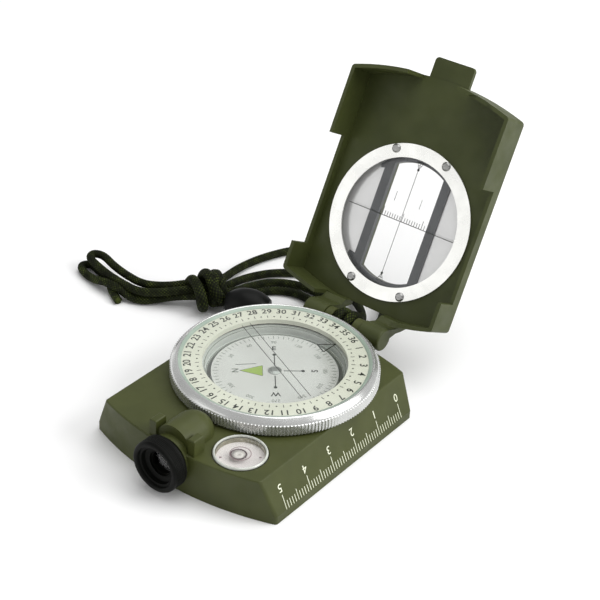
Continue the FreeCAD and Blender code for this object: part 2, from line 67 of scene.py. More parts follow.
def make_camera():
    """Camera that looks back at the target, shifted in its own picture plane and rolled a little."""
    cos_el = math.cos(CAMERA_ELEVATION)
    back = Vector((math.sin(CAMERA_AZIMUTH) * cos_el, -math.cos(CAMERA_AZIMUTH) * cos_el,
                   math.sin(CAMERA_ELEVATION)))
    level_right = Vector((math.cos(CAMERA_AZIMUTH), math.sin(CAMERA_AZIMUTH), 0))
    level_up = back.cross(level_right)
    right = level_right * math.cos(CAMERA_ROLL) + level_up * math.sin(CAMERA_ROLL)
    up = level_up * math.cos(CAMERA_ROLL) - level_right * math.sin(CAMERA_ROLL)
    place = CAMERA_TARGET + back * CAMERA_DISTANCE + right * CAMERA_ASIDE + up * CAMERA_RAISE
    data = bpy.data.cameras.new("camera")
    data.sensor_width = SENSOR_MM
    data.lens = LENS_MM
    data.clip_start = CAMERA_CLIP
    camera = bpy.data.objects.new("camera", data)
    turn = Matrix((right, up, back)).transposed().to_4x4()
    camera.matrix_world = Matrix.Translation(place) @ turn
    bpy.context.collection.objects.link(camera)
    bpy.context.scene.camera = camera


make_camera()


# ------------------------------------------------------------------ shader helpers
# Blender's noise lies mostly between the first two values, and tones blend between the last two.
NOISE_LOW = 0.3
NOISE_HIGH = 0.7
TONE_LOW = 0.35
TONE_HIGH = 0.65


def linear(hex_colour):
    """Scene-linear colour of an sRGB hex colour such as 5A613A."""
    channels = [int(hex_colour[i:i + 2], 16) / 255 for i in (0, 2, 4)]
    return [c / 12.92 if c <= 0.04045 else ((c + 0.055) / 1.055) ** 2.4 for c in channels] + [1.0]


class Shader:
    """A material with a Principled shader and small helpers for its node tree."""

    def __init__(self, name):
        self.material = bpy.data.materials.new(name)
        self.material.use_nodes = True
        self.nodes = self.material.node_tree.nodes
        self.link = self.material.node_tree.links.new
        self.main = self.nodes["Principled BSDF"]
        self.coords = self.nodes.new("ShaderNodeTexCoord").outputs["Object"]

    def set(self, **values):
        for name, value in values.items():
            self.main.inputs[name.replace("_", " ")].default_value = value
        return self

    def noise(self, scale, detail=3.0):
        node = self.nodes.new("ShaderNodeTexNoise")
        node.inputs["Scale"].default_value = scale
        node.inputs["Detail"].default_value = detail
        self.link(self.coords, node.inputs["Vector"])
        return node.outputs["Fac"]

    def blend(self, factor, low, high):
        """Colour that goes from low to high over the middle of the factor's range."""
        ramp = self.nodes.new("ShaderNodeValToRGB")
        ramp.color_ramp.elements[0].position = TONE_LOW
        ramp.color_ramp.elements[1].position = TONE_HIGH
        ramp.color_ramp.elements[0].color = low
        ramp.color_ramp.elements[1].color = high
        self.link(factor, ramp.inputs["Fac"])
        return ramp.outputs["Color"]

    def spread(self, factor, low, high):
        """Number from low to high, driven by noise."""
        node = self.nodes.new("ShaderNodeMapRange")
        node.inputs["From Min"].default_value = NOISE_LOW
        node.inputs["From Max"].default_value = NOISE_HIGH
        node.inputs["To Min"].default_value = low
        node.inputs["To Max"].default_value = high
        self.link(factor, node.inputs["Value"])
        return node.outputs["Result"]

    def attribute(self, name):
        node = self.nodes.new("ShaderNodeAttribute")
        node.attribute_name = name
        return node.outputs["Fac"]

    def colour(self, output):
        self.link(output, self.main.inputs["Base Color"])
        return self

    def roughness(self, output):
        self.link(output, self.main.inputs["Roughness"])
        return self

    def bump(self, height, depth):
        node = self.nodes.new("ShaderNodeBump")
        node.inputs["Distance"].default_value = depth
        node.inputs["Strength"].default_value = 1.0
        self.link(height, node.inputs["Height"])
        self.link(node.outputs["Normal"], self.main.inputs["Normal"])
        return self


def textured(name, low, high, rough, depth, patch=90.0, grain=2600.0, **values):
    """Surface whose colour drifts between two tones, with uneven gloss and a fine grain in relief."""
    shader = Shader(name).set(**values)
    shader.colour(shader.blend(shader.noise(patch), linear(low), linear(high)))
    shader.roughness(shader.spread(shader.noise(patch * 2.3), rough * 0.85, rough * 1.2))
    return shader.bump(shader.noise(grain, 4.0), depth).material


CLEAR_SHINE = 0.9
CLEAR_FACING_SHARE = 0.03
CLEAR_EDGE_SHARE = 0.6
CLEAR_FALLOFF = 4.0


def clear(name, tint, roughness=0.02):
    """Thin glass or plastic: see-through face on, reflective at a shallow angle, without refraction."""
    shader = Shader(name)
    nodes = shader.nodes
    through = nodes.new("ShaderNodeBsdfTransparent")
    through.inputs["Color"].default_value = linear(tint)
    shine = nodes.new("ShaderNodeBsdfGlossy")
    shine.inputs["Roughness"].default_value = roughness
    shine.inputs["Color"].default_value = (CLEAR_SHINE, CLEAR_SHINE, CLEAR_SHINE, 1)
    facing = nodes.new("ShaderNodeLayerWeight")
    facing.inputs["Blend"].default_value = 0.5
    steep = nodes.new("ShaderNodeMath")
    steep.operation = "POWER"
    steep.inputs[1].default_value = CLEAR_FALLOFF
    shader.link(facing.outputs["Facing"], steep.inputs[0])
    mirrored_share = nodes.new("ShaderNodeMath")
    mirrored_share.operation = "MULTIPLY_ADD"
    mirrored_share.inputs[1].default_value = CLEAR_EDGE_SHARE
    mirrored_share.inputs[2].default_value = CLEAR_FACING_SHARE
    shader.link(steep.outputs["Value"], mirrored_share.inputs[0])
    wave = nodes.new("ShaderNodeBump")
    wave.inputs["Distance"].default_value = 2 * MICRON
    shader.link(shader.noise(260.0, 2.0), wave.inputs["Height"])
    shader.link(wave.outputs["Normal"], shine.inputs["Normal"])
    mix = nodes.new("ShaderNodeMixShader")
    shader.link(mirrored_share.outputs["Value"], mix.inputs["Fac"])
    shader.link(through.outputs["BSDF"], mix.inputs[1])
    shader.link(shine.outputs["BSDF"], mix.inputs[2])
    shader.link(mix.outputs["Shader"], nodes["Material Output"].inputs["Surface"])
    nodes.remove(shader.main)
    return shader.material


def braid_material(name, dark, mid, light):
    """Woven cord: painted shade between the yarns and a painted highlight on top of them, set by the yarn
    height, with short fibres in relief.
    """
    shader = Shader(name).set(Specular_IOR_Level=0.12)
    ramp = shader.nodes.new("ShaderNodeValToRGB")
    ramp.color_ramp.elements.new(0.5).color = linear(mid)
    # The dark tone is painted shade in the gaps between yarns, the light tone a painted highlight on the
    # yarn tops.
    for end, position, colour in ((0, 0.22, dark), (-1, 0.82, light)):
        ramp.color_ramp.elements[end].position = position
        ramp.color_ramp.elements[end].color = linear(colour)
    patch = shader.nodes.new("ShaderNodeMath")
    patch.operation = "MULTIPLY"
    shader.link(shader.attribute("yarn"), patch.inputs[0])
    shader.link(shader.spread(shader.noise(420.0), 0.6, 1.15), patch.inputs[1])
    shader.link(patch.outputs["Value"], ramp.inputs["Fac"])
    shader.colour(ramp.outputs["Color"])
    shader.roughness(shader.spread(shader.noise(900.0), 0.6, 0.85))
    return shader.bump(shader.noise(5200.0, 4.0), 50 * MICRON).material


# Each finish: its name, two tones, roughness and the depth of its grain.
OLIVE = textured("olive_enamel", "3C411C", "434821", 0.5, 6 * MICRON, Specular_IOR_Level=0.3)
OLIVE_COVER = textured("olive_enamel_cover", "3A401D", "424823", 0.5, 6 * MICRON, Specular_IOR_Level=0.3)
SILVER = textured("bright_aluminium", "CDCECC", "D9DAD8", 0.24, 3 * MICRON, grain=2200.0, Metallic=0.8)
SATIN = textured("satin_aluminium", "C4C5C4", "D0D1D0", 0.38, 4 * MICRON, grain=2800.0, Metallic=1.0)
STEEL = textured("turned_steel", "8E8E8C", "A2A2A0", 0.28, 3 * MICRON, Metallic=1.0)
BLACK = textured("black_anodised", "090A08", "11120F", 0.45, 5 * MICRON, Specular_IOR_Level=0.08)
FRAME_GREY = textured("charcoal_enamel", "3E4144", "4A4D50", 0.5, 5 * MICRON)
CREAM = textured("dial_cream", "D6D6C8", "DEDED0", 0.45, 2 * MICRON, grain=2400.0)
CARD = textured("card_white", "F4F0F0", "F9F6F6", 0.5, 2 * MICRON, grain=2400.0)
BOWL = textured("bowl_grey", "ECEDEB", "F4F5F3", 0.35, 3 * MICRON, grain=2400.0)
RING_WHITE = textured("window_ring_satin", "E8E8E4", "F0F0EC", 0.25, 4 * MICRON, Metallic=0.85)
GLASS_EDGE = textured("glass_edge_green", "93A195", "A3B1A5", 0.2, 2 * MICRON, grain=1400.0)
# Pale grey of the level's rim: a painted highlight on the edge of the clear vial.
LEVEL_RIM_HIGHLIGHT = textured("level_rim_highlight", "C4C8C0", "D8DBD5", 0.2, 2 * MICRON, patch=400.0, grain=1400.0)
SEAT = textured("level_seat_white", "F4EFF1", "FAF6F7", 0.4, 2 * MICRON, grain=2400.0)
RUBBER = textured("seal_rubber", "15161A", "1E1F22", 0.7, 6 * MICRON)
MAGNET = textured("magnet_iron", "3A3A3C", "48484A", 0.5, 6 * MICRON, Metallic=0.8)
# The mirrors are near white and mostly diffuse: a painted reflection of the bright surroundings.
MIRROR_PAINTED_REFLECTION = textured("mirror_silver", "F8F8F7", "FCFCFB", 0.18, 0.3 * MICRON, patch=40.0, grain=600.0,
                  Metallic=0.3)
LOCK_BLACK = textured("cord_lock_plastic", "090A09", "10110F", 0.45, 4 * MICRON, grain=1500.0,
                      Specular_IOR_Level=0.14)
INK = textured("printed_ink", "191B18", "262923", 0.5, 1 * MICRON)
# Grey used both for faint print on the card and for painted shade in the capsule's grooves.
GREY_INK_AND_SHADE = textured("grey_ink_and_groove_shade", "70746C", "8A8E86", 0.5, 1 * MICRON)
PALE_PAINT = textured("pale_paint", "D9DCC2", "E6E9D2", 0.5, 3 * MICRON)
LUMINOUS = textured("luminous_green", "B5D15E", "C3DC74", 0.5, 2 * MICRON)
LEVEL_INK = textured("level_ink", "A08A90", "AE989E", 0.4, 1 * MICRON)
BUBBLE_EDGE = textured("bubble_edge", "5E4E54", "6E5E64", 0.3, 1 * MICRON)
BUBBLE = textured("bubble_white", "EFECEA", "F6F3F1", 0.2, 1 * MICRON, grain=1200.0)
# Brownish grey of the level's wall: painted reflection of the olive body in the clear vial.
LEVEL_WALL_REFLECTION = textured("level_wall_reflection", "8A8672", "B4B09C", 0.3, 2 * MICRON, patch=300.0, grain=1600.0)
GLASS = clear("dial_glass", "FCFDFC")
WINDOW_GLASS = clear("window_glass", "F7F7F7")
PLASTIC = clear("level_plastic", "FAFAF9", roughness=0.05)
FLUID = clear("level_fluid", "FBFBFA")
# The cord's darkest tone is painted shade between the yarns, its lightest a painted highlight on their
# tops.
CORD_MATERIAL = braid_material("olive_braid", "070902", "20260D", "5F6B2F")


# ------------------------------------------------------------------ mesh helpers
INK_THICK = 0.03 * MM
SPOT_SIDES = 16
GLYPH_DETAIL = 3

# Height of a capital letter, as a share of the font's size.
CAPITAL_SHARE = 0.72


def add_piece(name, verts, faces, material, body, smooth=True):
    """Mesh piece of one material that moves with a body."""
    mesh = bpy.data.meshes.new(name)
    mesh.from_pydata(verts, [], faces)
    mesh.validate()
    mesh.update()
    mesh.materials.append(material)
    if smooth:
        mesh.shade_smooth()
    piece = bpy.data.objects.new(name, mesh)
    bpy.context.collection.objects.link(piece)
    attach(piece, body)
    return piece


class Collector:
    """Gathers many small shapes into one mesh."""

    def __init__(self):
        self.verts = []
        self.faces = []

    def add(self, verts, faces, place=None):
        first = len(self.verts)
        self.verts += [place @ Vector(v) if place else Vector(v) for v in verts]
        self.faces += [[first + i for i in face] for face in faces]

    def slab(self, outline, low, high, place=None):
        """Prism over a convex or simple outline of (x, y) points."""
        count = len(outline)
        verts = [(x, y, low) for x, y in outline] + [(x, y, high) for x, y in outline]
        faces = [list(range(count - 1, -1, -1)), list(range(count, 2 * count))]
        faces += [[i, (i + 1) % count, count + (i + 1) % count, count + i] for i in range(count)]
        self.add(verts, faces, place)

    def bar(self, width, start, end, place):
        """Printed bar on the XY plane, from start to end along Y."""
        half = width / 2
        self.slab([(-half, start), (half, start), (half, end), (-half, end)], 0, INK_THICK, place)

    def stroke(self, start, end, width, low, high, place=None):
        """Straight printed line between two points, a little longer than their distance."""
        a = Vector(start)
        b = Vector(end)
        ahead = (b - a).normalized() * (width / 2)
        side = Vector((-ahead.y, ahead.x))
        self.slab([tuple(p) for p in (a - side, b - side, b + side, a + side)], low, high, place)

    def spot(self, centre, radius, low, high, place=None):
        """Round printed dot."""
        angles = [2 * math.pi * i / SPOT_SIDES for i in range(SPOT_SIDES)]
        outline = [(centre[0] + radius * math.cos(angle), centre[1] + radius * math.sin(angle))
                   for angle in angles]
        self.slab(outline, low, high, place)

    def piece(self, name, material, slot, body, smooth=False):
        return add_piece(name, self.verts, self.faces, material, body, smooth)


def turned(profile, segments, wave=None):
    """Closed (radius, z) profile turned round Z. wave(index, step, z) adds to a point's radius."""
    verts = []
    faces = []
    count = len(profile)
    for step in range(segments):
        angle = 2 * math.pi * step / segments
        for index, (radius, z) in enumerate(profile):
            r = radius + (wave(index, step, z) if wave else 0.0)
            verts.append((r * math.cos(angle), r * math.sin(angle), z))
    for step in range(segments):
        here = step * count
        there = (step + 1) % segments * count
        for i in range(count):
            j = (i + 1) % count
            faces.append([here + i, there + i, there + j, here + j])
    return verts, faces


def glyph(text, height, bold=0.0):
    """Verts and faces of printed characters, centred on the origin in the XY plane, with a thin body."""
    data = bpy.data.curves.new("glyph", "FONT")
    data.body = text
    data.size = height / CAPITAL_SHARE
    data.extrude = INK_THICK / 2
    data.offset = bold
    data.align_x = "CENTER"
    data.resolution_u = GLYPH_DETAIL
    holder = bpy.data.objects.new("glyph", data)
    mesh = bpy.data.meshes.new_from_object(holder)
    verts = [v.co.copy() for v in mesh.vertices]
    faces = [list(p.vertices) for p in mesh.polygons]
    low = min(v.y for v in verts)
    high = max(v.y for v in verts)
    left = min(v.x for v in verts)
    right = max(v.x for v in verts)
    centre = Vector(((left + right) / 2, (low + high) / 2, 0))
    bpy.data.objects.remove(holder)
    bpy.data.curves.remove(data)
    bpy.data.meshes.remove(mesh)
    return [v - centre for v in verts], faces


# ------------------------------------------------------------------ lanyard
PIN_LOW, PIN_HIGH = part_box("hinge_pin")
HINGE = (PIN_LOW + PIN_HIGH) / 2
PIN_R = (PIN_HIGH.z - PIN_LOW.z) / 2
CORD_D = 2.5 * MM
CORD_R = CORD_D / 2
WRAP_GAP = 0.03 * MM
WRAP_TIGHT = PIN_R + CORD_R + WRAP_GAP
WRAP_LOOSE = 3.0 * MM
WRAP_FRONT = HINGE.y - WRAP_TIGHT
WRAP_X = 1.6 * MM
CORD_AROUND = 36
LONG_DETAIL = 40
SHORT_DETAIL = 60

# The routes from the hinge to the knot, in metres.
STRAND_A = [(-0.002, 0.056, 0.0019), (-0.014, 0.069, 0.0013), (-0.031, 0.0755, 0.0013),
            (-0.046, 0.072, 0.0013), (-0.0515, 0.060, 0.0013), (-0.0534, 0.0495, 0.0013),
            (-0.0516, 0.0405, 0.0026), (-0.0499, 0.0346, 0.0045)]
STRAND_B = [(-0.0082, 0.0534, 0.0022), (-0.021, 0.061, 0.0013), (-0.034, 0.0615, 0.0013),
            (-0.0435, 0.0545, 0.0013), (-0.0478, 0.0465, 0.0013), (-0.0476, 0.040, 0.0026),
            (-0.0469, 0.0348, 0.004)]
STRAND_C = [(-0.005, 0.044, 0.0017), (-0.018, 0.0526, 0.0013), (-0.031, 0.0546, 0.0013),
            (-0.0402, 0.0502, 0.0013), (-0.0438, 0.0435, 0.0013), (-0.0439, 0.0382, 0.0024),
            (-0.0436, 0.0336, 0.004)]
STRAND_D = [(-0.0092, 0.0403, 0.002), (-0.020, 0.0482, 0.0013), (-0.0305, 0.050, 0.0013),
            (-0.0374, 0.0462, 0.0013), (-0.0404, 0.0406, 0.0013), (-0.0409, 0.0358, 0.0022),
            (-0.0419, 0.0319, 0.004)]

# Past the knot: each cord runs out along one lane, turns back in a loop and returns along another.
LOOP_UPPER = [(-0.0512, 0.0302, 0.0062), (-0.0549, 0.0262, 0.0056), (-0.0598, 0.0219, 0.0048),
              (-0.0660, 0.0192, 0.0042), (-0.0730, 0.0197, 0.0042), (-0.0800, 0.0212, 0.0042),
              (-0.0862, 0.0234, 0.0044), (-0.0896, 0.0222, 0.0044), (-0.0886, 0.0194, 0.0044),
              (-0.0840, 0.0180, 0.0042), (-0.0778, 0.0163, 0.0042), (-0.0704, 0.0154, 0.0042),
              (-0.0638, 0.0150, 0.0044), (-0.0584, 0.0178, 0.0050), (-0.0536, 0.0226, 0.0056),
              (-0.0496, 0.0266, 0.0060)]
LOOP_LOWER = [(-0.0458, 0.0296, 0.0040), (-0.0504, 0.0268, 0.0034), (-0.0564, 0.0228, 0.0024),
              (-0.0626, 0.0184, 0.0014), (-0.0696, 0.0169, 0.0013), (-0.0770, 0.0174, 0.0013),
              (-0.0836, 0.0190, 0.0013), (-0.0888, 0.0206, 0.0015), (-0.0908, 0.0178, 0.0016),
              (-0.0876, 0.0156, 0.0014), (-0.0820, 0.0144, 0.0015), (-0.0768, 0.0136, 0.0034),
              (-0.0710, 0.0136, 0.0036), (-0.0662, 0.0140, 0.0016), (-0.0620, 0.0160, 0.0014),
              (-0.0572, 0.0206, 0.0026), (-0.0512, 0.0240, 0.0040), (-0.0446, 0.0282, 0.0044)]

# The loose end under the loops, and the short end at the cord lock.
TAIL = [(-0.0754, 0.0150, 0.0013), (-0.0722, 0.0126, 0.0013), (-0.0684, 0.0109, 0.0013)]
LOCK_CORD = [(-0.0430, 0.0274, 0.005), (-0.0409, 0.0276, 0.0053), (-0.0386, 0.0284, 0.0052)]

# How each strand leaves the pin: at what angle, the radius of its line round the pin, and how far it
# then runs straight.
OVER_A = (35, WRAP_LOOSE, 11.0 * MM)
OVER_B = (35, WRAP_LOOSE, 11.3 * MM)
UNDER_C = (235, WRAP_TIGHT, 8.2 * MM)
UNDER_D = (235, WRAP_TIGHT, 7.0 * MM)


def wrap_point(x, degrees, radius, reach):
    """Point round the pin at an angle, reach away from the middle of a wrap of that radius."""
    turn = math.radians(degrees)
    return Vector((x, WRAP_FRONT + radius + reach * math.cos(turn), HINGE.z + reach * math.sin(turn)))


def hinge_end(x, side):
    """Start of a strand: from the front of the pin, over or under it, and straight off."""
    leave, radius, exit_run = side
    corners = 2 if abs(leave - 180) > 90 else 1
    step = (leave - 180) / corners
    reach = radius / math.cos(math.radians(step / 2))
    points = [wrap_point(x, 180, radius, radius)]
    points += [wrap_point(x, 180 + step * (i + 0.5), radius, reach) for i in range(corners)]
    turn = math.radians(leave)
    way = 1 if leave > 180 else -1
    ahead = Vector((0, -math.sin(turn), math.cos(turn))) * way
    return points + [wrap_point(x, leave, radius, radius) + ahead * exit_run]


def smooth_line(points, detail=LONG_DETAIL):
    """The points of a NURBS spline of order 3 through a route's control points."""
    curve = bpy.data.curves.new("route", "CURVE")
    curve.dimensions = "3D"
    curve.resolution_u = detail
    spline = curve.splines.new("NURBS")
    spline.points.add(len(points) - 1)
    for target, point in zip(spline.points, points):
        target.co = (*point, 1)
    spline.order_u = 3
    spline.use_endpoint_u = True
    holder = bpy.data.objects.new("route", curve)
    line = bpy.data.meshes.new_from_object(holder)
    found = [v.co.copy() for v in line.vertices]
    bpy.data.objects.remove(holder)
    bpy.data.curves.remove(curve)
    bpy.data.meshes.remove(line)
    return found


YARNS = 8
YARN_PITCH = 8.0 * MM
YARN_RELIEF = 0.17 * MM

# A yarn sinks by this share where it goes under another one. The cord's radius is measured at YARN_MEAN.
YARN_DIP = 0.55
YARN_MEAN = 0.6


def yarn_height(along, around):
    """Height from 0 to 1 of a one-over-one braid, at a length along the cord and an angle round it."""
    turns = around / (2 * math.pi)
    left = YARNS * (turns + along / YARN_PITCH)
    right = YARNS * (turns - along / YARN_PITCH)
    over = 0.5 + 0.5 * math.sin(math.pi * (left + right)) * math.sin(math.pi * (left - right))
    ridge_left = 0.5 + 0.5 * math.cos(2 * math.pi * left)
    ridge_right = 0.5 + 0.5 * math.cos(2 * math.pi * right)
    return max(ridge_left * (1.0 - YARN_DIP + YARN_DIP * over), ridge_right * (1.0 - YARN_DIP * over))


def braided_tube(name, line, radius):
    """Braided cord along a line, with its yarns as real relief and their height as an attribute."""
    verts = []
    yarn = []
    along = 0.0
    tangent = (line[1] - line[0]).normalized()
    side = tangent.orthogonal().normalized()
    for index, centre in enumerate(line):
        ahead = line[min(index + 1, len(line) - 1)] - line[max(index - 1, 0)]
        if index:
            along += (centre - line[index - 1]).length
        turned_tangent = ahead.normalized()
        side = tangent.rotation_difference(turned_tangent) @ side
        tangent = turned_tangent
        side = (side - tangent * side.dot(tangent)).normalized()
        other = tangent.cross(side)
        for k in range(CORD_AROUND):
            angle = 2 * math.pi * k / CORD_AROUND
            height = yarn_height(along, angle)
            reach = radius + YARN_RELIEF * (height - YARN_MEAN)
            verts.append(centre + (side * math.cos(angle) + other * math.sin(angle)) * reach)
            yarn.append(height)
    faces = []
    for ring in range(len(line) - 1):
        here = ring * CORD_AROUND
        there = here + CORD_AROUND
        for k in range(CORD_AROUND):
            beside = (k + 1) % CORD_AROUND
            faces.append([here + k, here + beside, there + beside, there + k])
    last = len(verts) - CORD_AROUND
    faces.append(list(range(CORD_AROUND - 1, -1, -1)))
    faces.append(list(range(last, last + CORD_AROUND)))
    piece = add_piece(name, verts, faces, CORD_MATERIAL, "base")
    data = piece.data.attributes.new("yarn", "FLOAT", "POINT")
    data.data.foreach_set("value", yarn)
    return piece


KNOT_LOW, KNOT_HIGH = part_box("lanyard_knot")
KNOT = (KNOT_LOW + KNOT_HIGH) / 2
KNOT_ALONG = Vector((-0.6, -0.8, 0))
KNOT_ACROSS = KNOT_ALONG.cross(UP)
KNOT_CORD_R = CORD_R * 1.25
KNOT_TURN_POINTS = 8

# Turns of the knot in millimetres, from the loops' side: place along the bundle, reach to the near and
# the far side, lowest and highest point, and how far the turn leans. KNOT_STEP is how far a turn moves
# on along the bundle. KNOT_LOBE is the route of the lobe towards the cord lock, for knot_place.
KNOT_TURNS = ((5.4, 8.0, 4.2, 1.6, 9.4, 0.0), (1.5, 6.0, 4.8, 1.7, 10.6, -0.4),
              (-1.2, 4.6, 4.8, 2.0, 9.6, -0.6))
KNOT_STEP = 3.4
KNOT_LOBE = ((-2.9, 2.6, 9.0), (-1.4, -1.6, 10.6), (0.2, -5.0, 9.2), (-1.6, -6.9, 6.8),
             (-3.2, -5.2, 3.6), (-1.6, -2.8, 2.4))


def knot_place(along, across, height):
    """Point in millimetres along and across the bundle from the knot's middle, and above the floor."""
    flat = KNOT_ALONG * (along * MM) + KNOT_ACROSS * (across * MM)
    return Vector((KNOT.x, KNOT.y, 0)) + flat + UP * (height * MM)


def knot_turns():
    """Uneven turns of the knot about the bundle, and the thick lobe at their end."""
    points = []
    for place, near, far, low, high, lean in KNOT_TURNS:
        middle = (far - near) / 2
        half = (far + near) / 2
        for k in range(KNOT_TURN_POINTS):
            angle = 2 * math.pi * k / KNOT_TURN_POINTS
            along = place - KNOT_STEP * k / KNOT_TURN_POINTS + lean * math.sin(angle)
            height = (low + high) / 2 + (high - low) / 2 * math.sin(angle)
            points.append(knot_place(along, middle + half * math.cos(angle), height))
    return points + [knot_place(*spot) for spot in KNOT_LOBE]


def make_lanyard():
    upper = hinge_end(WRAP_X, OVER_A) + STRAND_A + LOOP_UPPER + STRAND_B[::-1]
    upper += hinge_end(-WRAP_X, OVER_B)[::-1]
    lower = hinge_end(WRAP_X, UNDER_C) + STRAND_C + LOOP_LOWER + STRAND_D[::-1]
    lower += hinge_end(-WRAP_X, UNDER_D)[::-1]
    upper_line = smooth_line(upper)
    lower_line = smooth_line(lower)
    upper_cord = braided_tube("lanyard_cord_upper", upper_line, CORD_R)
    lower_cord = braided_tube("lanyard_cord_lower", lower_line, CORD_R)
    knot = braided_tube("knot_turns", smooth_line(knot_turns()), KNOT_CORD_R)
    tail = braided_tube("cord_tail", smooth_line(TAIL, SHORT_DETAIL), CORD_R)
    lock_cord = braided_tube("cord_lock_cord", smooth_line(LOCK_CORD, SHORT_DETAIL), CORD_R)
    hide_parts("lanyard_strand_a", "lanyard_strand_b", "lanyard_hank")
    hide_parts("lanyard_strand_c", "lanyard_strand_d")
    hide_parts("lanyard_knot")
    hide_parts("lanyard_tail")
    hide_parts("lanyard_lock_cord")


make_lanyard()


# ------------------------------------------------------------------ stage
FLOOR_HALF = 3.0
WORLD_STRENGTH = 0.5

# Each light: its name, place, the point it looks at, the sides of its panel and its power in watts.
LIGHTS = (("key_right", (0.75, 0.35, 0.55), (0, 0.02, 0.02), (0.6, 0.5), 6.2),
          ("overhead", (0.1, 0.2, 0.9), (0, 0.02, 0.02), (1.0, 0.8), 5.2),
          ("front_card", (-0.5, -0.76, 0.31), (0, 0.056, 0.036), (0.6, 0.5), 0.8))


def make_stage():
    mesh = bpy.data.meshes.new("floor")
    mesh.from_pydata([(-FLOOR_HALF, -FLOOR_HALF, 0), (FLOOR_HALF, -FLOOR_HALF, 0),
                      (FLOOR_HALF, FLOOR_HALF, 0), (-FLOOR_HALF, FLOOR_HALF, 0)], [], [[0, 1, 2, 3]])
    mesh.materials.append(textured("pale_floor", "F4F4F4", "F8F8F8", 0.8, 10 * MICRON, patch=4.0,
                                   grain=300.0))
    floor = bpy.data.objects.new("floor", mesh)
    bpy.context.collection.objects.link(floor)


def soft_light(name, place, target, size, watts):
    data = bpy.data.lights.new(name, "AREA")
    data.shape = "RECTANGLE"
    data.size, data.size_y = size
    data.energy = watts
    light = bpy.data.objects.new(name, data)
    light.location = place
    aim = Vector(target) - Vector(place)
    light.rotation_euler = aim.to_track_quat("-Z", "Y").to_euler()
    bpy.context.collection.objects.link(light)


def make_lights():
    world = bpy.data.worlds.new("studio")
    world.use_nodes = True
    background = world.node_tree.nodes["Background"]
    background.inputs["Color"].default_value = (1, 1, 1, 1)
    background.inputs["Strength"].default_value = WORLD_STRENGTH
    bpy.context.scene.world = world
    bpy.context.scene.view_settings.view_transform = "Standard"
    for light in LIGHTS:
        soft_light(*light)


make_stage()
make_lights()


# ------------------------------------------------------------------ CAD nodes
FINISH = {
    "base_housing": OLIVE, "bottom_cover": OLIVE, "bottom_screws": STEEL, "vial_body": PLASTIC,
    "vial_liquid": FLUID, "vial_backing": SEAT, "capsule_bowl": BOWL, "capsule_seal": RUBBER,
    "capsule_lens": GLASS, "pivot_post": STEEL, "bezel_retainer": SATIN, "number_ring": CREAM,
    "compass_card": CARD, "card_magnet": MAGNET, "card_jewel": SATIN, "bezel_spring": STEEL,
    "bezel_ring": SILVER, "bezel_glass": GLASS, "lens_tube": BLACK, "view_prism": GLASS,
    "lens_cell": BLACK, "eyepiece_lens": WINDOW_GLASS, "eyepiece_ring": BLACK, "hinge_pin": STEEL,
    "cord_lock": LOCK_BLACK, "cover_shell": OLIVE_COVER, "window_ring": RING_WHITE,
    "window_screws": STEEL, "sight_glass": WINDOW_GLASS, "window_gasket": FRAME_GREY,
    "mirror_right": MIRROR_PAINTED_REFLECTION, "mirror_left": MIRROR_PAINTED_REFLECTION,
}
CORD_NODES = ("lanyard_strand_a", "lanyard_strand_b", "lanyard_strand_c", "lanyard_strand_d",
              "lanyard_knot", "lanyard_hank", "lanyard_tail", "lanyard_lock_cord")
FINISH.update(dict.fromkeys(CORD_NODES, CORD_MATERIAL))
for node, material in FINISH.items():
    for place in frame["nodes"][node].material_slots:
        place.material = material


# ------------------------------------------------------------------ bezel
BEZEL_LOW, BEZEL_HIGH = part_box("bezel_ring")
BEZEL_R = BEZEL_HIGH.x
BEZEL_FLOOR = BEZEL_LOW.z
BEZEL_TOP = BEZEL_HIGH.z
RING_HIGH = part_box("number_ring")[1]
BEZEL_BORE = 24.3 * MM
BEZEL_STEP_Z = 14.45 * MM
EDGE_FOOT = 0.22 * MM
EDGE_DROP = 1.75 * MM
EDGE_FADE = 0.9 * MM
TEETH = 190
TOOTH_STEPS = 6
TOOTH_DEPTH = 0.32 * MM
TOOTH_SHAPE = [0.0, 0.45, 1.0, 1.0, 0.45, 0.0]
BEZEL_CREASE = math.radians(32)

# The chamfer's section in millimetres: in from the rim and up from the coin edge, then near the top in
# from the rim and down from the top.
SHOULDER = ((0.34, 0.12), (0.42, 0.4), (0.75, 0.75), (1.15, 1.2))
CROWN = ((1.5, 0.25), (1.7, 0.05), (1.9, 0))


